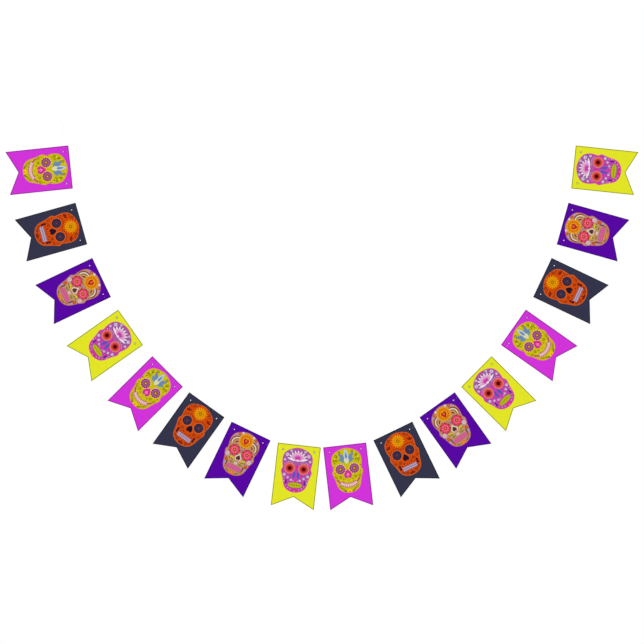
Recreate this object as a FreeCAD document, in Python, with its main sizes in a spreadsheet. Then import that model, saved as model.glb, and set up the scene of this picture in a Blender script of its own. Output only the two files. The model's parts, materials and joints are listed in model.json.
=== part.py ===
# Swallowtail bunting banner: printed card pennants threaded on one thin clear string, which hangs in a
# deep curve between two tied end loops. Millimetres, +Z up, +X from the left loop to the right one,
# printed faces towards -Y. The origin is the centre of the left end loop. The loops and the string's front
# runs lie in the plane y = 0, and the cards hang just behind it.
import FreeCAD, Part
import math
import os

import Sketcher

Vector = FreeCAD.Vector

# Driving dimensions in millimetres and degrees: alias, value, meaning
SIZES = (
    ("pennant_count", 16, "pennants on the string, an even number"),
    ("pennant_width", 127.0, "width of a pennant"),
    ("pennant_height", 185.5, "top edge to the tips of the tails"),
    ("notch_depth", 32.0, "tips of the tails to the inner corner of the notch"),
    ("card_thickness", 0.4, "thickness of the card"),
    ("hole_diameter", 3.0, "punched hole for the string"),
    ("hole_from_side", 17.2, "side edge to the centre of a hole"),
    ("hole_from_top", 16.7, "top edge to the centre of a hole"),
    ("middle_gap", 10.0, "bare string between the side edges of the two middle pennants"),
    ("near_gap", 27.0, "the same in each of the gaps next to it"),
    ("far_gap", 45.0, "the same in each of the gaps further up"),
    ("near_gap_count", 3, "near gaps on each side of the middle one"),
    ("middle_tilt", 6.5, "slope of the two middle pennants"),
    ("outer_tilt", 84.0, "slope of the two outermost pennants"),
    ("tilt_step", 9.7, "how much less each pennant slopes than the one outside it"),
    ("string_diameter", 0.8, "thickness of the string"),
    ("string_clearance", 0.1, "air between the string and the face of a card"),
    ("crossing_share", 0.62, "reach of the string's slant through a hole, as a share of the hole's radius"),
    ("end_length", 90.0, "outermost hole to the centre of the end loop"),
    ("loop_inner_radius", 8.0, "inside of the end loop"),
    ("loop_height", 20.0, "knot to the centre of the end loop"),
    ("cut_end_length", 10.0, "free end of the string past the knot"),
)

BACK = Vector(0, 1, 0)  # away from the printed faces
WRAP_PITCH = 0.85  # spacing of the knot's turns, as a share of the string's thickness
WRAP_RADIUS = 0.9  # radius of the knot's turns at the middle of the string, as a share of its thickness
CUT_END_ANGLE = 32.0  # degrees between the string and its free end
ARC_SHARE = 0.45  # share of the shorter run that an arc takes up at each of its ends


def make_sheet(doc):
    sheet = doc.addObject("Spreadsheet::Sheet", "Sizes")
    for row, (alias, value, meaning) in enumerate(SIZES, start=1):
        sheet.set("A%d" % row, meaning)
        sheet.set("B%d" % row, str(value))
        sheet.setAlias("B%d" % row, alias)
    doc.recompute()
    return sheet


def read_sizes(sheet):
    return {alias: float(sheet.get(alias)) for alias, value, meaning in SIZES}


# The hanging curve, worked out from the middle of the banner to its right end


def slope_direction(tilt):
    """Unit vector along the string, left to right, where it falls by tilt degrees."""
    angle = math.radians(tilt)
    return Vector(math.cos(angle), 0, -math.sin(angle))


def bare_gap(size, place):
    """Bare string between two pennants, counted from 0 in the middle of the banner."""
    if place == 0:
        return size["middle_gap"]
    return size["near_gap"] if place <= size["near_gap_count"] else size["far_gap"]


def right_half(size):
    """Middle of each pennant's hole line and its tilt, from the middle outwards, and the right loop's centre."""
    pairs = int(size["pennant_count"]) // 2
    hole_line = size["pennant_width"] - 2 * size["hole_from_side"]
    tilts = [-size["middle_tilt"]]
    for place in range(1, pairs):
        tilts.append(-size["outer_tilt"] + size["tilt_step"] * (pairs - 1 - place))
    point = Vector(0, 0, 0)
    places = []
    for place, tilt in enumerate(tilts):
        span = bare_gap(size, place) + 2 * size["hole_from_side"]
        if place == 0:
            point = point + slope_direction(0) * (span / 2)
        else:
            point = point + slope_direction((tilts[place - 1] + tilt) / 2) * span
        along = slope_direction(tilt)
        places.append((point + along * (hole_line / 2), tilt))
        point = point + along * hole_line
    end_direction = slope_direction(tilts[-1] - size["tilt_step"] / 2)
    return places, point + end_direction * size["end_length"], end_direction


def lane_depth(size):
    """How far the middle of a card lies behind the middle of the string that runs in front of it."""
    return (size["card_thickness"] + size["string_diameter"]) / 2 + size["string_clearance"]


def hang_banner(size):
    """Every pennant's place and tilt from left to right, and each end loop's centre and outward direction."""
    right, loop, outward = right_half(size)
    shift = Vector(loop.x, 0, -loop.z)
    behind = shift + BACK * lane_depth(size)
    left = [(Vector(-point.x, 0, point.z), -tilt) for point, tilt in reversed(right)]
    pennants = [(point + behind, tilt) for point, tilt in left + right]
    left_end = (Vector(-loop.x, 0, loop.z) + shift, Vector(-outward.x, 0, outward.z))
    right_end = (loop + shift, outward)
    return pennants, left_end, right_end


# Pennants


def origin_plane(body, role):
    return next(feature for feature in body.Origin.OriginFeatures if feature.Role == role)


def new_sketch(body, name):
    sketch = body.newObject("Sketcher::SketchObject", name)
    sketch.AttachmentSupport = [(origin_plane(body, "XZ_Plane"), "")]
    sketch.MapMode = "FlatFace"
    return sketch


def drive(sketch, name, constraint, expression):
    """Adds a dimension to the sketch and ties it to the sheet."""
    index = sketch.addConstraint(constraint)
    sketch.renameConstraint(index, name)
    sketch.setExpression("Constraints." + name, expression)


def draw_outline(sketch, size):
    """Swallowtail outline. The sketch's origin is the middle of the line between the holes."""
    half = size["pennant_width"] / 2
    top = size["hole_from_top"]
    tip = top - size["pennant_height"]
    corners = (
        Vector(-half, top, 0),
        Vector(half, top, 0),
        Vector(half, tip, 0),
        Vector(0, tip + size["notch_depth"], 0),
        Vector(-half, tip, 0),
    )
    for start, end in zip(corners, corners[1:] + corners[:1]):
        sketch.addGeometry(Part.LineSegment(start, end), False)
    top_edge, right_side, right_notch, left_notch, left_side = range(5)
    start, end, y_axis, origin = 1, 2, -2, -1
    for edge, following in zip(range(5), (1, 2, 3, 4, 0)):
        sketch.addConstraint(Sketcher.Constraint("Coincident", edge, end, following, start))
    sketch.addConstraint(Sketcher.Constraint("Symmetric", top_edge, start, top_edge, end, y_axis))
    sketch.addConstraint(Sketcher.Constraint("Vertical", right_side))
    sketch.addConstraint(Sketcher.Constraint("Vertical", left_side))
    sketch.addConstraint(Sketcher.Constraint("Horizontal", right_notch, start, left_notch, end))
    sketch.addConstraint(Sketcher.Constraint("PointOnObject", right_notch, end, y_axis))
    width = Sketcher.Constraint("DistanceX", top_edge, start, top_edge, end, 2 * half)
    drive(sketch, "width", width, "Sizes.pennant_width")
    above_holes = Sketcher.Constraint("DistanceY", origin, start, top_edge, start, top)
    drive(sketch, "above_holes", above_holes, "Sizes.hole_from_top")
    height = Sketcher.Constraint("DistanceY", right_side, end, right_side, start, top - tip)
    drive(sketch, "height", height, "Sizes.pennant_height")
    notch = Sketcher.Constraint("DistanceY", right_notch, start, right_notch, end, size["notch_depth"])
    drive(sketch, "notch", notch, "Sizes.notch_depth")


def draw_holes(sketch, size):
    """Two punched holes, as far from the side edges as each other."""
    reach = size["pennant_width"] / 2 - size["hole_from_side"]
    radius = size["hole_diameter"] / 2
    for x in (-reach, reach):
        sketch.addGeometry(Part.Circle(Vector(x, 0, 0), Vector(0, 0, 1), radius), False)
    left, right = range(2)
    centre, x_axis, y_axis = 3, -1, -2
    sketch.addConstraint(Sketcher.Constraint("Symmetric", left, centre, right, centre, y_axis))
    sketch.addConstraint(Sketcher.Constraint("PointOnObject", left, centre, x_axis))
    sketch.addConstraint(Sketcher.Constraint("Equal", left, right))
    spacing = Sketcher.Constraint("DistanceX", left, centre, right, centre, 2 * reach)
    drive(sketch, "spacing", spacing, "Sizes.pennant_width - 2 * Sizes.hole_from_side")
    drive(sketch, "bore", Sketcher.Constraint("Diameter", left, 2 * radius), "Sizes.hole_diameter")


def make_pennant(doc, size, name, point, tilt):
    """One die-cut card with its two holes, turned about Y to the slope of the string."""
    body = doc.addObject("PartDesign::Body", name)
    body.Label = name
    outline = new_sketch(body, name + "_outline")
    draw_outline(outline, size)
    card = body.newObject("PartDesign::Pad", name + "_card")
    card.Profile = outline
    card.SideType = "Symmetric"
    card.setExpression("Length", "Sizes.card_thickness")
    outline.Visibility = False
    doc.recompute()
    punch = new_sketch(body, name + "_punch")
    draw_holes(punch, size)
    holes = body.newObject("PartDesign::Pocket", name + "_holes")
    holes.Profile = punch
    holes.Type = "ThroughAll"
    holes.SideType = "Symmetric"
    punch.Visibility = False
    body.Tip = holes
    body.Placement = FreeCAD.Placement(point, FreeCAD.Rotation(Vector(0, 1, 0), tilt))
    doc.recompute()
    return body


def card_volume(size):
    sheet_area = size["pennant_width"] * (size["pennant_height"] - size["notch_depth"] / 2)
    hole_area = math.pi * size["hole_diameter"] ** 2 / 4
    return (sheet_area - 2 * hole_area) * size["card_thickness"]


# String


def rounded_path(points):
    """Straight runs joined by tangent arcs, and the arcs' radii. An arc is as large as its two runs allow."""
    edges = []
    radii = []
    run_start = points[0]
    for before, corner, after in zip(points, points[1:], points[2:]):
        way_in = (corner - before).normalize()
        way_out = (after - corner).normalize()
        half_turn = way_in.getAngle(way_out) / 2
        reach = ARC_SHARE * min(corner.distanceToPoint(before), corner.distanceToPoint(after))
        radius = reach / math.tan(half_turn)
        arc_start = corner - way_in * reach
        arc_end = corner + way_out * reach
        inward = (way_out - way_in).normalize()
        arc_middle = corner + inward * (radius / math.cos(half_turn) - radius)
        edges.append(Part.LineSegment(run_start, arc_start).toShape())
        edges.append(Part.Arc(arc_start, arc_middle, arc_end).toShape())
        radii.append(radius)
        run_start = arc_end
    edges.append(Part.LineSegment(run_start, points[-1]).toShape())
    return edges, radii


def tube(edges, diameter):
    """A round cord along tangent edges, which has to hold its section times its length."""
    path = Part.Wire(edges)
    first = edges[0].Curve
    start = edges[0].valueAt(edges[0].FirstParameter)
    circle = Part.Wire(Part.makeCircle(diameter / 2, start, first.Direction))
    solid = path.makePipeShell([circle], True, False)
    expected = math.pi * diameter ** 2 / 4 * path.Length
    if abs(solid.Volume - expected) > 0.001 * expected:
        raise RuntimeError("a tube holds %.2f mm3, not %.2f mm3" % (solid.Volume, expected))
    return solid


def threading_points(size, pennants, left_knot, right_knot):
    """The string's route: in front of the gaps and margins, and behind each card between its two holes."""
    lane = BACK * lane_depth(size)
    reach = size["crossing_share"] * size["hole_diameter"] / 2
    half_line = size["pennant_width"] / 2 - size["hole_from_side"]
    holes = []
    for point, tilt in pennants:
        along = slope_direction(tilt)
        front_point = point - lane
        holes.append((front_point - along * half_line, front_point + along * half_line))
    arrivals = [left_knot] + [right for left, right in holes]
    departures = [left for left, right in holes[1:]] + [right_knot]
    route = [left_knot]
    for (left, right), came_from, goes_to in zip(holes, arrivals, departures):
        way_in = (left - came_from).normalize()
        across = (right - left).normalize()
        way_out = (goes_to - right).normalize()
        route.append(left - way_in * reach)
        route.append(left + across * reach + lane * 2)
        route.append(right - across * reach + lane * 2)
        route.append(right + way_out * reach)
    route.append(right_knot)
    return route


def loop_and_knot(size, centre, outward, away):
    """The tied loop at one end: a ring of string, the turns of its knot and the cut end, which leans away."""
    thick = size["string_diameter"]
    side = (away - outward * away.dot(outward)).normalize()
    knot = centre - outward * size["loop_height"]
    ring_radius = size["loop_inner_radius"] + thick / 2
    leg_offset = thick / 4
    leg_turn = math.atan2(leg_offset, size["loop_height"])
    leg_turn = leg_turn + math.acos(ring_radius / math.hypot(leg_offset, size["loop_height"]))
    drop = outward * (-ring_radius * math.cos(leg_turn))
    swing = side * (ring_radius * math.sin(leg_turn))
    ring = (
        Part.LineSegment(knot + side * leg_offset, centre + drop + swing).toShape(),
        Part.Arc(centre + drop + swing, centre + outward * ring_radius, centre + drop - swing).toShape(),
        Part.LineSegment(centre + drop - swing, knot - side * leg_offset).toShape(),
    )
    pitch = WRAP_PITCH * thick
    wraps = [
        Part.makeTorus(WRAP_RADIUS * thick, thick / 2, knot + outward * (turn * pitch), outward)
        for turn in (-1, 0, 1)
    ]
    core = Part.makeCylinder(WRAP_RADIUS * thick, 2 * pitch, knot - outward * pitch, outward)
    lean = math.radians(CUT_END_ANGLE)
    cut_way = side * math.sin(lean) - outward * math.cos(lean)
    cut_end = Part.makeCylinder(thick / 2, size["cut_end_length"], knot, cut_way)
    return [tube(ring, thick), core, cut_end] + wraps


def make_string(doc, size, pennants, left_end, right_end):
    """The whole string as one solid, from the left loop through every pennant to the right loop."""
    knots = [centre - outward * size["loop_height"] for centre, outward in (left_end, right_end)]
    route = threading_points(size, pennants, *knots)
    edges, radii = rounded_path(route)
    run = tube(edges, size["string_diameter"])
    ends = loop_and_knot(size, *left_end, Vector(-1, 0, 0)) + loop_and_knot(size, *right_end, Vector(1, 0, 0))
    string = doc.addObject("Part::Feature", "string")
    string.Label = "string"
    string.Shape = run.fuse(ends)
    string.Placement = FreeCAD.Placement(Vector(0, 0, 0), FreeCAD.Rotation())
    run_length = sum(edge.Length for edge in edges)
    print("string between its knots: %.0f mm, arc radii %.1f to %.1f mm" % (run_length, min(radii), max(radii)))
    return string


# Build, check and write


def check_document(doc, parts):
    for item in doc.Objects:
        if "Invalid" in item.State or "Error" in item.State:
            raise RuntimeError("%s failed: %s" % (item.Name, item.State))
    for part in parts:
        if part.Shape.isNull() or not part.Shape.isValid() or len(part.Shape.Solids) != 1:
            raise RuntimeError("%s is not one valid solid" % part.Label)


def main():
    doc = FreeCAD.newDocument("bunting_banner")
    size = read_sizes(make_sheet(doc))
    places, left_end, right_end = hang_banner(size)
    pennants = [
        make_pennant(doc, size, "pennant_%02d" % number, point, tilt)
        for number, (point, tilt) in enumerate(places, start=1)
    ]
    for pennant in pennants:
        if abs(pennant.Shape.Volume - card_volume(size)) > 0.001 * card_volume(size):
            raise RuntimeError("%s holds %.1f mm3" % (pennant.Label, pennant.Shape.Volume))
    string = make_string(doc, size, places, left_end, right_end)
    doc.recompute()
    parts = pennants + [string]
    check_document(doc, parts)
    os.makedirs("parts", exist_ok=True)
    for part in parts:
        part.Shape.exportStep("parts/%s.step" % part.Label)
    print("right loop centre: %.2f, %.2f, %.2f mm" % tuple(right_end[0]))
    print("pennant volume %.1f mm3, string volume %.1f mm3" % (pennants[0].Shape.Volume, string.Shape.Volume))


main()
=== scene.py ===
import json
import math

import bmesh
import bpy
from mathutils import Matrix, Vector

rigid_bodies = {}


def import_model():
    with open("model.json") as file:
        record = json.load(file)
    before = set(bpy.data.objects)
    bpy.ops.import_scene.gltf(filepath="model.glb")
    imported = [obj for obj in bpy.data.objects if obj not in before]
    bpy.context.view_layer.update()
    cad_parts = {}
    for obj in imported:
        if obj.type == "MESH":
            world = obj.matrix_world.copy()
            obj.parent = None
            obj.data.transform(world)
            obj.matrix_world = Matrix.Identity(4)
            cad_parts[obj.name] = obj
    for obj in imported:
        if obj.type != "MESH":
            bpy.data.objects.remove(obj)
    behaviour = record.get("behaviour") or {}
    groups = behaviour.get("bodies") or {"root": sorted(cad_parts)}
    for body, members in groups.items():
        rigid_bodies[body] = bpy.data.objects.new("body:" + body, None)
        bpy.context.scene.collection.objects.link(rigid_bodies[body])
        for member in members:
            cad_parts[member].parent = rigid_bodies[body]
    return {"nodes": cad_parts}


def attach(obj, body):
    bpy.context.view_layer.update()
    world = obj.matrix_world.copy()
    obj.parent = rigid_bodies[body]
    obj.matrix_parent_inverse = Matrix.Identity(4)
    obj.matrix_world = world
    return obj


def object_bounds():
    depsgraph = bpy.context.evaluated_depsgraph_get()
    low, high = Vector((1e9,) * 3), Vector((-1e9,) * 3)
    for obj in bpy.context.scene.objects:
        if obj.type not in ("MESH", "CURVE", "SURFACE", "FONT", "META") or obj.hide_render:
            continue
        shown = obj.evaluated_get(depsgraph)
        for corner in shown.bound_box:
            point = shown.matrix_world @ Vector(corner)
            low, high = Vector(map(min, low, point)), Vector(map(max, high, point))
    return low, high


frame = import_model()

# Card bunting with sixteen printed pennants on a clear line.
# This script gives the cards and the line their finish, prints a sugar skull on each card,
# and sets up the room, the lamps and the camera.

cad_low, cad_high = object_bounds()
middle_x = (cad_low.x + cad_high.x) / 2

MM = 0.001

# The camera faces the cards squarely. Its picture is this wide and this high up at the cards.
LENS_MM = 100.0
SENSOR_MM = 36.0
PICTURE_WIDTH = 1.887
PICTURE_MIDDLE_Z = -0.5886

# The room: a pale floor under the banner, and a soft light that shows each colour as it is written.
FLOOR_Z = -1.9
FLOOR_RADIUS = 1.95
SKY_LIGHT = 0.72
SUN_POWER = 1.15
SUN_FROM = (-0.45, -1.0, 0.75)

# The felted fibres of the card and under the ink: how many to the metre, and how deep in metres.
CARD_GRAIN = 1400.0
CARD_FIBRE_DEPTH = 0.00006
INK_GRAIN = 1800.0
INK_FIBRE_DEPTH = 0.00003
LINE_GRAIN = 420.0
LINE_WAVE_DEPTH = 0.00004

# How much of the nylon line the eye makes out at this distance, and how strongly it bends light.
LINE_PRESENCE = 0.3
NYLON_IOR = 1.53

# Ink stands this far in front of the card, layer by layer. All the drawing is in millimetres
# from the middle of the card, x to the right and z up, as the eye sees the printed face.
INK_STEP = 0.04
INK_BODY = 0.03

# Painted shade: a darker line of ink just inside the cut edge and round the holes stands in for the shade at
# the card's edge. Its layer, width, distance from the cut, and how dark it is.
EDGE_LAYER = 0.5
EDGE_LINE_WIDTH = 1.6
EDGE_LINE_FROM_CUT = 0.7
EDGE_SHADE = 0.42

CARD_ORDER = ("magenta", "charcoal", "purple", "yellow")
CARD_COLOURS = {
    "magenta": (208, 51, 216),
    "charcoal": (51, 52, 73),
    "purple": (86, 8, 160),
    "yellow": (225, 228, 38),
}


def linear(colour):
    """A screen colour of 0 to 255 as the linear light that a shader takes."""
    parts = [part / 255 for part in colour]
    return tuple(part / 12.92 if part <= 0.04045 else ((part + 0.055) / 1.055) ** 2.4 for part in parts)


def only_select(piece):
    bpy.ops.object.select_all(action="DESELECT")
    piece.select_set(True)
    bpy.context.view_layer.objects.active = piece


# Camera


def place_camera():
    lens = bpy.data.cameras.new("picture")
    lens.lens = LENS_MM
    lens.sensor_width = SENSOR_MM
    lens.clip_end = 100.0
    camera = bpy.data.objects.new("picture", lens)
    bpy.context.collection.objects.link(camera)
    distance = PICTURE_WIDTH * LENS_MM / SENSOR_MM
    camera.location = (middle_x, -distance, PICTURE_MIDDLE_Z)
    camera.rotation_euler = (math.pi / 2, 0, 0)
    bpy.context.scene.camera = camera


# Materials


def new_material(name):
    """A material with its shader, and a function that adds one more node of it."""
    material = bpy.data.materials.new(name)
    material.use_nodes = True
    tree = material.node_tree
    shader = tree.nodes["Principled BSDF"]

    def add(kind, **settings):
        node = tree.nodes.new(kind)
        for key, value in settings.items():
            if key in node.inputs:
                node.inputs[key].default_value = value
            else:
                setattr(node, key, value)
        return node

    return material, shader, add, tree.links.new


def fibre_bump(add, link, shader, grain, depth):
    """The felted surface of card: a fine cloud of fibres and a slower waviness under it."""
    place = add("ShaderNodeTexCoord")
    fine = add("ShaderNodeTexNoise", Scale=grain, Detail=6.0, Roughness=0.62)
    slow = add("ShaderNodeTexNoise", Scale=grain / 14, Detail=3.0)
    both = add("ShaderNodeMath", operation="MULTIPLY_ADD")
    both.inputs[1].default_value = 0.6
    bump = add("ShaderNodeBump", Strength=0.5, Distance=depth)
    link(place.outputs["Object"], fine.inputs["Vector"])
    link(place.outputs["Object"], slow.inputs["Vector"])
    link(slow.outputs["Fac"], both.inputs[0])
    link(fine.outputs["Fac"], both.inputs[2])
    link(both.outputs["Value"], bump.inputs["Height"])
    link(bump.outputs["Normal"], shader.inputs["Normal"])
    return fine, slow


def spread(add, link, source, low, high, socket):
    """Turns a noise into a range of values on one socket."""
    reach = add("ShaderNodeMapRange")
    reach.inputs["From Min"].default_value = 0.3
    reach.inputs["From Max"].default_value = 0.7
    reach.inputs["To Min"].default_value = low
    reach.inputs["To Max"].default_value = high
    link(source.outputs["Fac"], reach.inputs["Value"])
    link(reach.outputs["Result"], socket)


def card_material(name, colour):
    """Card printed all over in one colour: a satin face over felted fibres, and a paler core at the cuts."""
    material, shader, add, link = new_material("card_" + name)
    fine, slow = fibre_bump(add, link, shader, CARD_GRAIN, CARD_FIBRE_DEPTH)
    spread(add, link, fine, 0.46, 0.62, shader.inputs["Roughness"])
    shader.inputs["Specular IOR Level"].default_value = 0.18
    shader.inputs["Specular Tint"].default_value = (*linear(colour), 1.0)
    ground = linear(colour)
    tone = add("ShaderNodeMix", data_type="RGBA")
    tone.inputs["A"].default_value = (*[part * 0.965 for part in ground], 1.0)
    tone.inputs["B"].default_value = (*[min(1.0, part * 1.035) for part in ground], 1.0)
    spread(add, link, slow, 0.0, 1.0, tone.inputs["Factor"])
    core = add("ShaderNodeMix", data_type="RGBA")
    core.inputs["B"].default_value = (*[0.55 * part + 0.30 for part in ground], 1.0)
    place = add("ShaderNodeTexCoord")
    axes = add("ShaderNodeSeparateXYZ")
    facing = add("ShaderNodeMath", operation="ABSOLUTE")
    at_cut = add("ShaderNodeMath", operation="LESS_THAN")
    at_cut.inputs[1].default_value = 0.5
    link(place.outputs["Normal"], axes.inputs["Vector"])
    link(axes.outputs["Y"], facing.inputs[0])
    link(facing.outputs["Value"], at_cut.inputs[0])
    link(at_cut.outputs["Value"], core.inputs["Factor"])
    link(tone.outputs["Result"], core.inputs["A"])
    link(core.outputs["Result"], shader.inputs["Base Color"])
    return material


def ink_material(name, colour):
    """Printing ink: an even colour, a little glossier than the card, with the card's fibres just showing."""
    material, shader, add, link = new_material("ink_" + name)
    fine, _ = fibre_bump(add, link, shader, INK_GRAIN, INK_FIBRE_DEPTH)
    spread(add, link, fine, 0.34, 0.52, shader.inputs["Roughness"])
    shader.inputs["Base Color"].default_value = (*linear(colour), 1.0)
    shader.inputs["Specular IOR Level"].default_value = 0.22
    shader.inputs["Specular Tint"].default_value = (*linear(colour), 1.0)
    return material


def line_material():
    """Clear drawn nylon, with faint lengthwise waviness from the die."""
    material, shader, add, link = new_material("clear_nylon_line")
    shader.inputs["Base Color"].default_value = (0.97, 0.98, 0.98, 1.0)
    shader.inputs["Transmission Weight"].default_value = 1.0
    shader.inputs["IOR"].default_value = NYLON_IOR
    shader.inputs["Alpha"].default_value = LINE_PRESENCE
    place = add("ShaderNodeTexCoord")
    waves = add("ShaderNodeTexNoise", Scale=LINE_GRAIN, Detail=4.0)
    bump = add("ShaderNodeBump", Strength=0.25, Distance=LINE_WAVE_DEPTH)
    link(place.outputs["Object"], waves.inputs["Vector"])
    link(waves.outputs["Fac"], bump.inputs["Height"])
    link(bump.outputs["Normal"], shader.inputs["Normal"])
    spread(add, link, waves, 0.05, 0.16, shader.inputs["Roughness"])
    return material


def give_material(piece, material):
    for slot in piece.material_slots:
        slot.material = material
    if not piece.material_slots:
        piece.data.materials.append(material)


# Room and lamps


def seen_directly(nodes, links):
    """1 for the camera and for what gloss and clear things show, 0 for light that falls on a surface."""
    path = nodes.new("ShaderNodeLightPath")
    gloss = nodes.new("ShaderNodeMath")
    gloss.operation = "MAXIMUM"
    clear = nodes.new("ShaderNodeMath")
    clear.operation = "MAXIMUM"
    links.new(path.outputs["Is Camera Ray"], gloss.inputs[0])
    links.new(path.outputs["Is Glossy Ray"], gloss.inputs[1])
    links.new(gloss.outputs["Value"], clear.inputs[0])
    links.new(path.outputs["Is Transmission Ray"], clear.inputs[1])
    return clear.outputs["Value"]


def light_the_room():
    world = bpy.data.worlds.new("studio")
    bpy.context.scene.world = world
    world.use_nodes = True
    nodes, links = world.node_tree.nodes, world.node_tree.links
    nodes.clear()
    soft = nodes.new("ShaderNodeBackground")
    soft.inputs["Strength"].default_value = SKY_LIGHT
    soft.inputs["Color"].default_value = (1.0, 1.0, 1.0, 1.0)
    white = nodes.new("ShaderNodeBackground")
    white.inputs["Color"].default_value = (1.0, 1.0, 1.0, 1.0)
    mix = nodes.new("ShaderNodeMixShader")
    out = nodes.new("ShaderNodeOutputWorld")
    links.new(seen_directly(nodes, links), mix.inputs["Fac"])
    links.new(soft.outputs["Background"], mix.inputs[1])
    links.new(white.outputs["Background"], mix.inputs[2])
    links.new(mix.outputs["Shader"], out.inputs["Surface"])
    sun = bpy.data.lights.new("window", "SUN")
    sun.energy = SUN_POWER
    sun.angle = math.radians(18)
    lamp = bpy.data.objects.new("window", sun)
    lamp.rotation_euler = Vector(SUN_FROM).to_track_quat("Z", "Y").to_euler()
    bpy.context.collection.objects.link(lamp)
    bpy.context.scene.view_settings.view_transform = "Standard"


def lay_floor():
    """A pale round floor that fades into the white room at its rim."""
    bpy.ops.object.select_all(action="DESELECT")
    bpy.ops.mesh.primitive_circle_add(vertices=96, radius=FLOOR_RADIUS, fill_type="NGON",
                                      location=(middle_x, 0, FLOOR_Z))
    floor = bpy.context.object
    floor.name = "floor"
    bpy.ops.object.transform_apply(location=True)
    material, shader, add, link = new_material("pale_floor")
    shader.inputs["Base Color"].default_value = (0.86, 0.86, 0.86, 1.0)
    shader.inputs["Roughness"].default_value = 0.8
    shader.inputs["Specular IOR Level"].default_value = 0.1
    place = add("ShaderNodeTexCoord")
    centred = add("ShaderNodeMapping")
    centred.inputs["Location"].default_value = (-middle_x, 0, -FLOOR_Z)
    reach = add("ShaderNodeVectorMath", operation="LENGTH")
    fade = add("ShaderNodeMapRange", interpolation_type="SMOOTHSTEP")
    fade.inputs["From Min"].default_value = 0.35 * FLOOR_RADIUS
    fade.inputs["From Max"].default_value = 0.98 * FLOOR_RADIUS
    clear = add("ShaderNodeBsdfTransparent")
    mix = add("ShaderNodeMixShader")
    out = material.node_tree.nodes["Material Output"]
    link(place.outputs["Object"], centred.inputs["Vector"])
    link(centred.outputs["Vector"], reach.inputs[0])
    link(reach.outputs["Value"], fade.inputs["Value"])
    link(fade.outputs["Result"], mix.inputs["Fac"])
    link(shader.outputs["BSDF"], mix.inputs[1])
    link(clear.outputs["BSDF"], mix.inputs[2])
    link(mix.outputs["Shader"], out.inputs["Surface"])
    give_material(floor, material)


# Cards: where each one hangs, read from its own outline


class Card:
    """The middle, directions and sizes of a pennant, in metres, found from its corners."""

    def __init__(self, node):
        spots = [vertex.co.copy() for vertex in node.data.vertices]
        corner = max(spots, key=lambda spot: (spot - spots[0]).length)
        opposite = max(spots, key=lambda spot: (spot - corner).length)
        middle = (corner + opposite) / 2
        thickness = abs(corner.y - opposite.y)
        flat = [Vector((spot.x - middle.x, 0, spot.z - middle.z)) for spot in spots]
        notch = min(flat, key=lambda spot: spot.length)
        self.up = -notch.normalized()
        self.right = Vector((0, 1, 0)).cross(self.up)
        self.face = middle - Vector((0, thickness / 2, 0))
        across = [spot.dot(self.right) for spot in flat]
        along = [spot.dot(self.up) for spot in flat]
        self.half_width = max(across)
        self.half_height = max(along)
        self.notch_up = -notch.length
        rim = [(x, z) for x, z in zip(across, along) if self.inside(x, z)]
        self.holes = [self.mean([spot for spot in rim if spot[0] * side > 0]) for side in (-1, 1)]
        self.hole_radius = max(abs(spot[0] - self.holes[0][0]) for spot in rim if spot[0] < 0)

    def inside(self, x, z):
        """Whether a corner of the mesh belongs to a hole's rim, which lies inside the upper half."""
        margin = 0.02 * self.half_width
        return z > 0 and abs(x) < self.half_width - margin and z < self.half_height - margin

    @staticmethod
    def mean(spots):
        low = [min(spot[axis] for spot in spots) for axis in (0, 1)]
        high = [max(spot[axis] for spot in spots) for axis in (0, 1)]
        return [(a + b) / 2 for a, b in zip(low, high)]

    def place(self):
        """Takes a drawing in millimetres to this card's printed face."""
        turn = Matrix((self.right, Vector((0, 1, 0)), self.up)).transposed().to_4x4()
        return Matrix.Translation(self.face) @ turn @ Matrix.Scale(MM, 4)


# Drawing tools: each lays one flat shape of ink on the board that is open in edit mode.
# A layer is one step nearer the eye, and a lean is in degrees to the right of upright.

FACING = (math.pi / 2, 0, 0)
INKS = {}
# Shapes that overlap in one layer stand this part of a layer in front of each other.
HAIR = 0.25


def spot_at(x, z, layer):
    return Vector((x, -layer * INK_STEP, z))


def on_arc(x, z, radius, angle):
    """The point on a circle round (x, z) that lies angle degrees to the right of its top."""
    return x + radius * math.sin(math.radians(angle)), z + radius * math.cos(math.radians(angle))


def keep_selected(test):
    """Of the selected corners, keeps those that pass."""
    shape = bmesh.from_edit_mesh(bpy.context.edit_object.data)
    for vertex in shape.verts:
        if vertex.select and not test(vertex.co):
            vertex.select = False
    shape.select_flush(False)
    bmesh.update_edit_mesh(bpy.context.edit_object.data)


def paint(ink):
    board = bpy.context.edit_object
    slot = board.data.materials.find(INKS[ink].name)
    if slot < 0:
        board.data.materials.append(INKS[ink])
        slot = len(board.data.materials) - 1
    board.active_material_index = slot
    bpy.ops.object.material_slot_assign()


def stretch(wide, tall, centre):
    bpy.ops.transform.resize(value=(wide, 1, tall), center_override=centre)


def draw_in(test, wide, tall, centre):
    """Stretches only the corners that pass a test, and selects the whole shape again."""
    keep_selected(test)
    stretch(wide, tall, centre)
    bpy.ops.mesh.select_linked()


def turn(lean, centre):
    """Turns the selected shape about a point."""
    if lean:
        bpy.ops.transform.rotate(value=-math.radians(lean), orient_axis="Y", center_override=centre)


def round_shape(sides, across, centre):
    bpy.ops.mesh.primitive_circle_add(vertices=sides, radius=across / 2, fill_type="NGON",
                                      location=centre, rotation=FACING)


def repeat_round(count, x, z):
    """Copies the shape just drawn all the way round a point."""
    bpy.ops.mesh.spin(steps=count - 1, dupli=True, angle=2 * math.pi * (count - 1) / count,
                      center=(x, 0, z), axis=(0, 1, 0))


def disc(ink, layer, x, z, wide, tall=None, lean=0.0):
    centre = spot_at(x, z, layer)
    tall = tall or wide
    round_shape(min(40, 2 * round(2.8 * math.sqrt(max(wide, tall)) + 1)), 1.0, centre)
    stretch(wide, tall, centre)
    turn(lean, centre)
    paint(ink)


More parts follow.
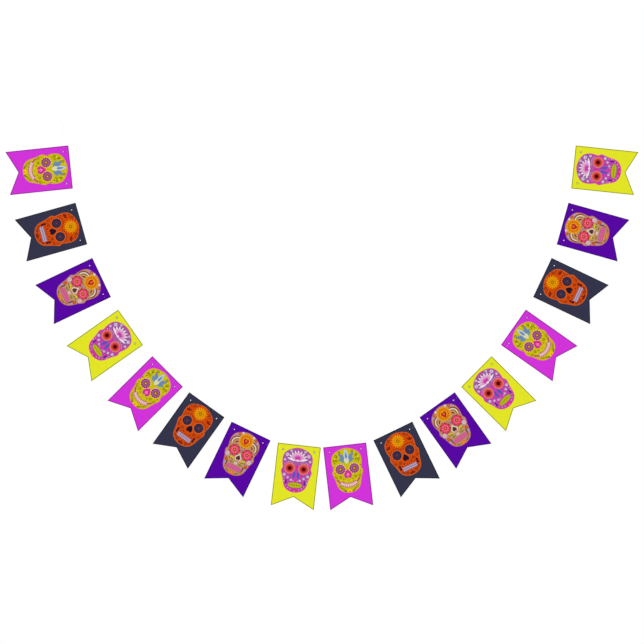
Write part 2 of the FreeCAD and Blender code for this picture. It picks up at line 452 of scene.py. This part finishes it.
def petal(ink, layer, x, z, length, wide, lean=0.0, pointed=False):
    """A petal that grows from (x, z), narrow at its root, and at its tip too where it is pointed."""
    centre = spot_at(x, z + length / 2, layer)
    round_shape(16, 1.0, centre)
    stretch(wide, length, centre)
    for far, share in ((0.15, 0.92), (0.30, 0.77), (0.43, 0.54)):
        draw_in(lambda spot: spot.z < centre.z - far * length, share, 1.0, centre)
        if pointed:
            draw_in(lambda spot: spot.z > centre.z + far * length, share, 1.0, centre)
    turn(lean, spot_at(x, z, layer))
    paint(ink)


def leaf(ink, layer, x, z, length, wide, lean=0.0):
    petal(ink, layer, x, z, length, wide, lean, pointed=True)


def fan(ink, layer, x, z, count, reach, length, wide, lean=0.0, pointed=True):
    """Petals that open from one point, reach degrees to both sides, the middle ones in front."""
    for number in range(count):
        depth = min(number, count - 1 - number) + (0.5 if number > (count - 1) / 2 else 0.0)
        opened = reach * (2 * number / (count - 1) - 1)
        petal(ink, layer + HAIR * depth, x, z, length, wide, lean + opened, pointed)


def heart(ink, layer, x, z, wide, lean=0.0):
    """A heart about (x, z), point down unless it leans half a turn."""
    centre = spot_at(x, z, layer)
    round_shape(24, wide, centre)
    for bottom, narrow, drop in ((-0.05, 0.95, 0.02), (-0.20, 0.90, 0.04), (-0.36, 0.86, 0.035),
                                 (-0.49, 0.82, 0.04), (-0.60, 0.90, 0.03), (-0.66, 1.0, 0.035)):
        keep_selected(lambda spot: spot.z < z + bottom * wide)
        stretch(narrow, 1.0, centre)
        bpy.ops.transform.translate(value=(0, 0, -drop * wide))
        bpy.ops.mesh.select_linked()
    keep_selected(lambda spot: spot.z > z + 0.45 * wide and abs(spot.x - x) < 0.2 * wide)
    bpy.ops.transform.translate(value=(0, 0, -0.07 * wide))
    keep_selected(lambda spot: abs(spot.x - x) < 0.02 * wide)
    bpy.ops.transform.translate(value=(0, 0, -0.16 * wide))
    bpy.ops.mesh.select_linked()
    turn(lean, centre)
    paint(ink)


def corners_from_tip(spot, x, z, corners, tips):
    """How many corners away the nearest tip is, where a tip stands at the top."""
    each = corners // tips
    place = round(math.atan2(spot.x - x, spot.z - z) / (2 * math.pi) * corners) % each
    return min(place, each - place)


def star(ink, layer, x, z, across, points, waist=0.55, lean=0.0):
    """A star whose inner corners lie at waist of its radius."""
    centre = spot_at(x, z, layer)
    round_shape(2 * points, across, centre)
    draw_in(lambda spot: corners_from_tip(spot, x, z, 2 * points, points) == 1, waist, waist, centre)
    turn(lean, centre)
    paint(ink)


def rosette(ink, layer, x, z, across, petals, valley=0.6, lean=0.0, tall=None):
    """A flower in one piece, whose round petals part down to valley of its radius."""
    centre = spot_at(x, z, layer)
    round_shape(6 * petals, across, centre)
    for place, share in ((1, 0.93), (2, 0.62), (3, 0.0)):
        reach = valley + share * (1 - valley)
        draw_in(lambda spot: corners_from_tip(spot, x, z, 6 * petals, petals) == place, reach, reach, centre)
    if tall:
        stretch(1.0, tall / across, centre)
    turn(lean, centre)
    paint(ink)


def blossom(ink, core, layer, x, z, across, petals=5, lean=0.0):
    """A small flower with a round core."""
    rosette(ink, layer, x, z, across, petals, 0.5, lean)
    disc(core, layer + 0.5, x, z, 0.3 * across)


def bar(ink, layer, x, z, wide, tall, lean=0.0, round_off=0.3):
    """A bar with rounded corners."""
    centre = spot_at(x, z, layer)
    bpy.ops.mesh.primitive_plane_add(size=1, location=centre, rotation=FACING)
    stretch(wide, tall, centre)
    bpy.ops.mesh.bevel(offset=round_off * min(wide, tall), affect="VERTICES", segments=3)
    bpy.ops.mesh.select_linked()
    turn(lean, centre)
    paint(ink)


def stroke(ink, layer, x, z, radius, wide, middle, sweep):
    """A curved stroke round (x, z), whose middle lies that many degrees to the right of the top."""
    head = spot_at(x, z + radius, layer)
    bpy.ops.mesh.primitive_plane_add(size=1, location=head, rotation=FACING)
    stretch(0.1, wide, head)
    keep_selected(lambda spot: spot.x < x)
    bpy.ops.mesh.spin(steps=max(3, round(sweep / 9)), angle=math.radians(sweep),
                      center=(x, head.y, z), axis=(0, 1, 0))
    bpy.ops.mesh.select_linked()
    turn(middle + sweep / 2, spot_at(x, z, layer))
    paint(ink)


def curl(ink, layer, x, z, size, side):
    """A spiral of three half rings, each smaller than the last, with a drop at its inner end."""
    wide = 0.22 * size
    radius = size
    for number in range(3):
        way = 1 if number % 2 == 0 else -1
        stroke(ink, layer + HAIR * number, x, z, radius, wide, 90 * side * way, 180)
        smaller = 0.64 * radius
        z -= way * (radius - smaller)
        radius = smaller
    disc(ink, layer + 3 * HAIR, x, z - radius, 2.0 * wide)


def dots_on_arc(ink, layer, x, z, radius, count, middle, sweep, size):
    """Dots spread evenly along an arc round (x, z)."""
    for number in range(count):
        disc(ink, layer, *on_arc(x, z, radius, middle + sweep * (number / (count - 1) - 0.5)), size)


# Prints


def open_board(name):
    """A blank board, open in edit mode."""
    board = bpy.data.objects.new(name, bpy.data.meshes.new(name))
    bpy.context.collection.objects.link(board)
    only_select(board)
    bpy.ops.object.mode_set(mode="EDIT")
    return board


def draw_painted_cut_shade(card):
    """Painted shade: the thin darker line of ink just inside the card's cut edge and round its two holes, in
    place of the shade at those edges.
    """
    half_width = card.half_width / MM
    half_height = card.half_height / MM
    slope = (card.notch_up / MM + half_height) / half_width
    along_notch = math.hypot(1, slope)
    top = half_height - EDGE_LINE_FROM_CUT
    bottom = -half_height + EDGE_LINE_FROM_CUT * (along_notch + slope)
    notch = card.notch_up / MM + EDGE_LINE_FROM_CUT * along_notch
    middle = spot_at(0, (top + bottom) / 2, EDGE_LAYER)
    bpy.ops.mesh.primitive_plane_add(size=1, location=middle, rotation=FACING)
    stretch(2 * (half_width - EDGE_LINE_FROM_CUT), top - bottom, middle)
    keep_selected(lambda spot: spot.z < middle.z)
    bpy.ops.mesh.subdivide(number_cuts=1, ngon=True)
    keep_selected(lambda spot: abs(spot.x) < 1)
    bpy.ops.transform.translate(value=(0, 0, notch - bottom))
    bpy.ops.mesh.select_linked()
    # Painted shade along the cut edge.
    paint("painted_cut_shade")
    bpy.ops.mesh.inset(thickness=EDGE_LINE_WIDTH)
    bpy.ops.mesh.delete(type="ONLY_FACE")
    # Painted shade round each hole.
    for x, z in card.holes:
        round_shape(28, 2 * (card.hole_radius / MM + EDGE_LINE_WIDTH), spot_at(x / MM, z / MM, EDGE_LAYER))
        paint("painted_cut_shade")
        bpy.ops.mesh.inset(thickness=EDGE_LINE_WIDTH)
        bpy.ops.mesh.delete(type="ONLY_FACE")


# Rows of the cage that the skull's outline is rounded from: height and half width.
SKULL_ROWS = ((85, 8), (71, 44), (38, 46), (22, 39), (16, 49), (-5, 38), (-34, 35), (-48.5, 14))
RIM_WIDTH = 1.6
EYE_X = 20.5
EYE_Z = 22.5


def draw_skull(field, rim):
    """The skull's shape: a cage drawn out row by row, rounded, with a rim round its field."""
    (top, wide), (below, _) = SKULL_ROWS[:2]
    board = bpy.context.edit_object
    middle = spot_at(0, (top + below) / 2, 1)
    bpy.ops.mesh.primitive_plane_add(size=1, location=middle, rotation=FACING)
    stretch(2 * wide, top - below, middle)
    level, reach = below, wide
    for row, (z, half) in enumerate(SKULL_ROWS[1:]):
        keep_selected(lambda spot: spot.z < level + 0.1)
        if row:
            bpy.ops.mesh.extrude_region_move(TRANSFORM_OT_translate={"value": (0, 0, z - level)})
        stretch(half / reach, 1.0, spot_at(0, z, 1))
        level, reach = z, half
    bpy.ops.object.mode_set(mode="OBJECT")
    rounding = board.modifiers.new("rounding", "SUBSURF")
    rounding.levels = 3
    rounding.render_levels = 3
    bpy.ops.object.modifier_apply(modifier="rounding")
    bpy.ops.object.mode_set(mode="EDIT")
    bpy.ops.mesh.select_all(action="SELECT")
    bpy.ops.mesh.dissolve_faces()
    paint(rim)
    bpy.ops.mesh.inset(thickness=RIM_WIDTH)
    paint(field)


def teeth(ink, layer, z, count, wide, tall, spacing, rise):
    """Two rows of teeth that meet at height z."""
    for number in range(count):
        x = (number - (count - 1) / 2) * spacing
        bar(ink, layer, x, z + rise / 2, wide, tall, 0, 0.36)
        bar(ink, layer, x, z - rise / 2, wide, tall, 0, 0.36)


def along_the_jaw(angle):
    """A place just inside the jaw's edge, angle degrees to the right of the chin."""
    return on_arc(0, -9, 32.5, 180 - angle)


def mustard_skull():
    """Mustard skull with purple scalloped eyes, a pale blue tulip and a long smile."""
    draw_skull("mustard", "coral_edge")
    for side in (-1, 1):
        eye = (EYE_X * side, EYE_Z)
        disc("sunny", 2, *eye, 34, 32)
        rosette("plum", 3, *eye, 30, 12, 0.84)
        rosette("violet", 4, *eye, 23, 12, 0.58, 15)
        disc("plum", 5, *eye, 13.5)
        rosette("bronze", 6, *eye, 11, 8, 0.8)
        disc("sunny", 7, *eye, 4)
        for angle in (-60, -36, -12, 12, 36):
            bar("shell", 4, *on_arc(*eye, 14.9, angle * side), 1.6, 3.4, angle * side, 0.45)
        for angle in (30, 53, 76):
            blossom("olive", "lime", 2, *on_arc(0, 40, 37.3, angle * side), 8.6, 5, angle * side)
        for angle in (18, 41.5, 64.5, 88):
            disc("lime", 2, *on_arc(0, 40, 37.3, angle * side), 3.0)
        curl("olive", 2, 27.5 * side, 50, 4.4, side)
        disc("bottle", 2, 35 * side, 41.5, 3.6)
        disc("bottle", 2, 20.5 * side, 66.5, 3.8)
        disc("bottle", 2, 28.5 * side, 59.5, 3.8)
        disc("lime", 2, 33 * side, 53.5, 2.6)
        disc("bottle", 2, 40 * side, 30, 3.0)
        curl("olive", 2, 34 * side, 1.5, 4.8, side)
        blossom("olive", "lime", 2, 22 * side, -0.5, 8.4, 5, 20 * side)
        disc("olive", 2, 13.5 * side, -6.5, 3.4)
        disc("lime", 2, 7.5 * side, -12.0, 3.0)
        disc("olive", 2, 15.5 * side, -15.0, 3.0)
        disc("lime", 2, 22 * side, -10.5, 3.0)
        for angle, size in ((29, 6.8), (47, 6.4)):
            blossom("olive", "lime", 2, *along_the_jaw(angle * side), size, 5, angle * side)
        disc("bottle", 2, *along_the_jaw(38 * side), 2.6)
        disc("bottle", 2, *along_the_jaw(57 * side), 3.0)
        disc("olive", 2, 37 * side, 13, 3.0)
        leaf("olive", 2, 6.5 * side, -44, 10, 4.4, 74 * side)
    fan("sky", 3, 0, 42, 2, 64, 26, 11)
    fan("blue_mist", 4, 0, 41, 2, 36, 35, 13)
    leaf("pale_sky", 5, 0, 41, 40, 14)
    leaf("blue_mist", 6, 0, 45, 28, 6.5)
    heart("mint", 7, 0, 47.5, 15)
    heart("shell", 8, 0, 48, 7)
    heart("hot_pink", 3, 0, 5.0, 23.5, 180)
    heart("pale_rose", 4, 0, 4.6, 8.5, 180)
    disc("hot_pink", 5, 0, 4.0, 3.2)
    stroke("rose_red", 2, 0, 12, 38, 4.4, 180, 116)
    stroke("rose_red", 2 + HAIR, 0, 12, 38, 12.6, 180, 80)
    for side in (-1, 1):
        disc("rose_red", 2 + 2 * HAIR, *on_arc(0, 12, 38, 180 - 58 * side), 5.6)
    for number in range(10):
        angle = 180 + 70 * (number / 9 - 0.5)
        bar("shell", 3, *on_arc(0, 12, 38, angle), 4.2, 9.4, angle, 0.42)
    fan("sunny", 2, 0, -45.5, 5, 62, 9.5, 5.4, 0, False)
    disc("sun_deep", 4, 0, -43.5, 4.6)


def orange_skull():
    """Orange skull with deep round sockets, a pointed sun and stitched teeth."""
    draw_skull("orange", "orange_edge")
    for side in (-1, 1):
        eye = (EYE_X * side, EYE_Z)
        disc("orange_edge", 2, *eye, 31, 32)
        disc("indigo", 3, *eye, 27.5, 28.5)
        disc("dusk", 4, EYE_X * side, EYE_Z + 8.4, 2.2)
        repeat_round(12, *eye)
        disc("dusk", 4, *eye, 8.6)
        disc("indigo", 5, *eye, 6.2)
        disc("ember", 6, *eye, 3.0)
        dots_on_arc("brick", 2, *eye, 19.8, 7, 4 * side, 116, 3.7)
        fan("brick", 2, 33 * side, 48, 3, 48, 11, 5.0, 20 * side)
        blossom("brick", "orange_edge", 2, 25.5 * side, 71, 9.5, 4, 20 * side)
        disc("brick", 2, 34.5 * side, 65, 4.0)
        disc("brick", 2, 15.5 * side, 78.5, 3.6)
        disc("brick", 2, 38.5 * side, 40, 3.4)
        curl("brick", 2, 34.5 * side, 2.0, 4.8, side)
        blossom("brick", "orange_edge", 2, 20.5 * side, -2, 9.0, 4, 45)
        disc("brick", 2, 11.5 * side, -9, 4.6)
        disc("brick", 2, 3.6 * side, -12.5, 3.0)
        disc("brick", 2, 19 * side, -12.5, 3.0)
        bar("sienna", 2, 27.5 * side, -15.5, 4.8, 16, 0, 0.45)
        bar("sienna", 3, 27.5 * side, -11.5, 8.6, 2.0)
        bar("sienna", 3, 27.5 * side, -19.0, 8.6, 2.0)
        for angle, size in ((28, 9.0), (48, 8.6)):
            blossom("brick", "orange_edge", 2, *along_the_jaw(angle * side), size, 4, angle * side)
        disc("brick", 2, *along_the_jaw(38 * side), 2.8)
        disc("brick", 2, 37.5 * side, 13, 3.6)
        disc("brick", 2, 27.5 * side, -4, 3.0)
        disc("brick", 2, 29 * side, 64, 3.0)
        disc("brick", 2, 12 * side, -34.5, 3.0)
    star("gold", 2, 0, 60, 43, 16, 0.62)
    star("sun_deep", 3, 0, 60, 31, 16, 0.62, 11.25)
    disc("gold", 4, 0, 60, 15.5)
    disc("amber", 5, 0, 60, 11)
    disc("gold", 6, 0, 60, 4.2)
    heart("orange_edge", 2, 0, 4.8, 21, 180)
    heart("night", 3, 0, 4.4, 19, 180)
    bar("dusk", 2, 0, -23.5, 46, 13.8, 0, 0.3)
    teeth("lilac_grey", 3, -23.5, 9, 4.4, 5.5, 4.95, 6.2)
    fan("brick", 2, 0, -45, 3, 56, 11, 5.4)


def cream_skull():
    """Cream skull of many colours, with a haloed heart, pink eyes and banded temples."""
    draw_skull("cream", "rose_edge")
    for side in (-1, 1):
        for ring, ink in enumerate(("chestnut", "ivory", "moss", "peach", "umber")):
            stroke(ink, 2, 21 * side, 44, 19.8 - 3.7 * ring, 3.4, 48 * side, 118)
        blossom("crimson", "lemon", 3, 26 * side, 71.5, 9.5, 5)
        disc("ivory", 3, 17 * side, 77.5, 6.6)
        disc("lilac", 3, 33 * side, 66, 7.2)
        eye = (EYE_X * side, EYE_Z)
        rosette("chestnut", 3, *eye, 35, 9, 0.88)
        rosette("watermelon", 4, *eye, 32, 7, 0.72)
        rosette("blush", 5, *eye, 20, 7, 0.62, 25.7)
        rosette("crimson", 6, *eye, 12, 7, 0.62)
        disc("lemon", 7, *eye, 3.6)
        for ring, ink in enumerate(("lilac", "ivory", "peach")):
            disc(ink, 3 + HAIR + ring, 34.5 * side, 5.5, 14 - 4.4 * ring, 15 - 4.6 * ring)
        leaf("lemon", 3, 8 * side, -5, 19, 9, 72 * side)
        leaf("moss", 4, 10 * side, -6, 13, 4.4, 74 * side)
        leaf("leaf_green", 3, 7 * side, -12.5, 14, 5, 92 * side)
        disc("rust", 3, 31.5 * side, -10.5, 8.6, 11)
        disc("tangerine", 4, 31.5 * side, -10.5, 4.6, 6.4)
        bar("plum_dark", 3, 26 * side, -20, 3.2, 14.5, 0, 0.5)
        disc("lilac", 3, 31.5 * side, -21.5, 5.6, 7)
        rosette("rust", 3, *along_the_jaw(47 * side), 7.6, 6, 0.6)
        disc("lemon", 4, *along_the_jaw(47 * side), 2.4)
        disc("umber", 3, 24.0 * side, -2.5, 4.4)
        disc("crimson", 3, 38.5 * side, -3.5, 3.0)
        leaf("moss", 3, 9 * side, -43, 14, 5.4, 62 * side)
        disc("chestnut", 3, 4.4 * side, 37.5, 3.2)
        disc("moss", 3, 39.5 * side, 33, 4.4)
    rosette("gold", 4, 0, 59.5, 44, 14, 0.86)
    rosette("tangerine", 5, 0, 59.5, 36, 14, 0.74, 12.9)
    disc("gold", 6, 0, 59.5, 23)
    heart("crimson", 7, 0, 59.3, 16.5)
    heart("tangerine", 8, 0, 60, 7.4)
    petal("violet", 4, 0, 34.5, 11, 6, 180)
    heart("ivory", 3 + 2 * HAIR, 0, 5, 19.5, 180)
    heart("umber", 4 + 2 * HAIR, 0, 4.4, 13.5, 180)
    disc("ivory", 5, 0, -12, 9.5, 6.5)
    disc("lilac", 6, 0, -12, 4.6, 3.2)
    bar("rose_red", 3, 0, -26, 45, 14.6, 0, 0.4)
    teeth("tooth_pink", 4, -26, 9, 4.3, 5.9, 4.85, 6.5)
    fan("tangerine", 4, 0, -46, 5, 64, 11.5, 5.4)
    fan("lemon", 6, 0, -46, 3, 40, 7.5, 3.4)
    disc("watermelon", 8, 0, -44, 5.0)


def orchid_skull():
    """Orchid skull with coral eyes, a white lotus on a mauve cap and a citrus mouth."""
    draw_skull("orchid", "coral_rim")
    rosette("mauve", 2, 0, 56.5, 82, 22, 0.93, 0, 51)
    for side in (-1, 1):
        eye = (EYE_X * side, EYE_Z)
        rosette("coral_light", 3, *eye, 32.5, 14, 0.9)
        disc("coral", 4, *eye, 26.5)
        rosette("coral_deep", 5, *eye, 21, 12, 0.72)
        disc("wine", 6, *eye, 12)
        disc("wine_deep", 7, *eye, 6)
        for x, z, across in ((31.5, 61.5, 16), (20.5, 74, 10.5), (37, 46.5, 11), (34.5, 2.5, 13),
                             (23.5, -5.0, 10.5), (13, -11.5, 9.5)):
            rosette("plum_shade", 3, x * side, z, across, 8, 0.8)
            rosette("lilac", 4, x * side, z, 0.86 * across, 8, 0.72)
            rosette("white", 5, x * side, z, 0.54 * across, 8, 0.5)
            disc("plum_shade", 6, x * side, z, 0.2 * across)
        dots_on_arc("white", 3, *eye, 19.6, 5, 14 * side, 74, 2.2)
        leaf("plum_shade", 3, 23 * side, 54, 9, 3.6, -62 * side)
        disc("plum_shade", 3, 12 * side, 79, 3.2)
        disc("plum_shade", 3, 38 * side, 36.5, 2.8)
        disc("plum_shade", 3, 16.5 * side, 3.0, 3.0)
        disc("plum_shade", 3, 28.5 * side, -13.0, 3.4)
        disc("plum_shade", 3, *along_the_jaw(47 * side), 3.6)
        leaf("indigo_blue", 3, 27.5 * side, -25.5, 14.5, 5.2)
        disc("lilac", 3, 34 * side, -9, 4.0)
        disc("white", 3, 33.5 * side, -16.5, 2.8)
        petal("violet_blue", 3, 4.2 * side, 16.0, 24, 8.4, 180 - 9 * side)
        for angle, size in ((24, 3.4), (39, 4.2), (54, 3.4)):
            disc("pale_pink", 3, *along_the_jaw(angle * side), size)
        leaf("pale_pink", 3, 3.5 * side, -15.5, 7, 2.8, 66 * side)
    fan("plum_shade", 4, 0, 45, 9, 80, 34, 9.6)
    fan("white", 5.5, 0, 45.5, 9, 78, 32, 7.4)
    fan("pale_pink", 7, 0, 45.5, 7, 58, 25, 6.4)
    fan("orchid", 8.5, 0, 45.5, 5, 36, 16, 5.0)
    disc("white", 10, 0, 46.5, 8, 6.4)
    petal("hot_pink", 3, 0, 34, 13, 5.4, 180)
    disc("olive", 3, 0, -26, 45, 17)
    disc("citrus", 4, 0, -26, 42, 14.4)
    for number in range(7):
        bar("olive", 5, (number - 3) * 5.2, -26, 0.9, 10 - 0.75 * (number - 3) ** 2)
    bar("olive", 6, 0, -26, 38, 0.9)
    fan("hot_pink", 3, 0, -46, 5, 64, 10.5, 5.4, 0, False)
    disc("pale_pink", 5, 0, -44, 4.0)


INK_COLOURS = {
    "mustard": (200, 184, 12), "coral_edge": (214, 138, 84), "olive": (104, 110, 10), "lime": (228, 228, 70),
    "bottle": (58, 64, 16), "sunny": (238, 200, 24), "plum": (132, 54, 116), "violet": (178, 100, 152),
    "bronze": (146, 92, 26), "sky": (108, 144, 166), "blue_mist": (110, 134, 172),
    "pale_sky": (184, 204, 214), "mint": (208, 224, 160), "hot_pink": (212, 44, 150),
    "pale_rose": (240, 140, 186), "rose_red": (188, 66, 108), "shell": (228, 196, 196),
    "orange": (204, 73, 11), "orange_edge": (214, 100, 38), "indigo": (48, 38, 62), "dusk": (88, 66, 90),
    "ember": (140, 70, 80), "brick": (122, 34, 16), "sienna": (58, 22, 32), "gold": (222, 158, 10),
    "sun_deep": (218, 128, 6), "amber": (160, 100, 6), "night": (40, 20, 38), "lilac_grey": (184, 164, 192),
    "cream": (190, 142, 104), "rose_edge": (196, 116, 90), "blush": (232, 112, 132),
    "chestnut": (126, 60, 36), "ivory": (222, 208, 196), "moss": (132, 116, 54),
    "peach": (222, 140, 96), "lemon": (218, 186, 52),
    "watermelon": (224, 62, 96), "crimson": (182, 20, 48), "lilac": (172, 146, 194),
    "leaf_green": (122, 126, 46), "plum_dark": (66, 26, 84), "tangerine": (218, 106, 18),
    "rust": (170, 58, 24), "umber": (92, 50, 36), "tooth_pink": (210, 102, 158), "orchid": (195, 64, 168),
    "coral_rim": (222, 100, 128), "pale_pink": (220, 142, 192), "mauve": (168, 88, 158),
    "plum_shade": (136, 62, 136), "coral_light": (228, 128, 100), "coral": (212, 84, 70),
    "coral_deep": (184, 48, 46), "wine": (100, 10, 20), "wine_deep": (56, 2, 10), "white": (232, 218, 232),
    "indigo_blue": (58, 40, 146), "violet_blue": (84, 84, 184), "citrus": (190, 188, 20),
}

DRAWINGS = {
    "magenta": mustard_skull,
    "charcoal": orange_skull,
    "purple": cream_skull,
    "yellow": orchid_skull,
}


def face_the_front():
    """Turns round what a spin has left facing the card."""
    shape = bmesh.from_edit_mesh(bpy.context.edit_object.data)
    for face in shape.faces:
        face.select_set(face.normal.y > 0)
    bmesh.update_edit_mesh(bpy.context.edit_object.data)
    bpy.ops.mesh.flip_normals()


def draw_print(name, card):
    """One card's print on a board of its own: skull, ornaments and the painted shade along the cut edge, as
    thin plates of ink.
    """
    # The card's colour darkened, printed as painted shade along the cut edge and round the holes.
    INKS["painted_cut_shade"] = ink_material("painted_cut_shade_" + name, [EDGE_SHADE * part for part in CARD_COLOURS[name]])
    board = open_board("drawing_" + name)
    DRAWINGS[name]()
    draw_painted_cut_shade(card)
    bpy.ops.mesh.select_all(action="DESELECT")
    bpy.ops.mesh.select_mode(type="FACE")
    face_the_front()
    bpy.ops.mesh.select_mode(type="VERT")
    bpy.ops.object.mode_set(mode="OBJECT")
    body = board.modifiers.new("body", "SOLIDIFY")
    body.thickness = INK_BODY
    body.offset = -1.0
    bpy.ops.object.modifier_apply(modifier="body")
    return board


def print_cards(cards):
    for name, ink in INK_COLOURS.items():
        INKS[name] = ink_material(name, ink)
    first = next(iter(cards.values()))
    boards = {name: draw_print(name, first) for name in CARD_ORDER}
    for number, (node_name, card) in enumerate(cards.items()):
        board = boards[CARD_ORDER[number % len(CARD_ORDER)]]
        piece = bpy.data.objects.new(node_name.replace("pennant", "print"), board.data.copy())
        piece.data.transform(card.place())
        bpy.context.collection.objects.link(piece)
        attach(piece, "root")
    for board in boards.values():
        bpy.data.objects.remove(board)


# The whole scene

place_camera()
light_the_room()
lay_floor()

finishes = {name: card_material(name, colour) for name, colour in CARD_COLOURS.items()}
pennants = sorted(name for name in frame["nodes"] if name.startswith("pennant"))
for number, name in enumerate(pennants):
    give_material(frame["nodes"][name], finishes[CARD_ORDER[number % len(CARD_ORDER)]])
give_material(frame["nodes"]["string"], line_material())
print_cards({name: Card(frame["nodes"][name]) for name in pennants})
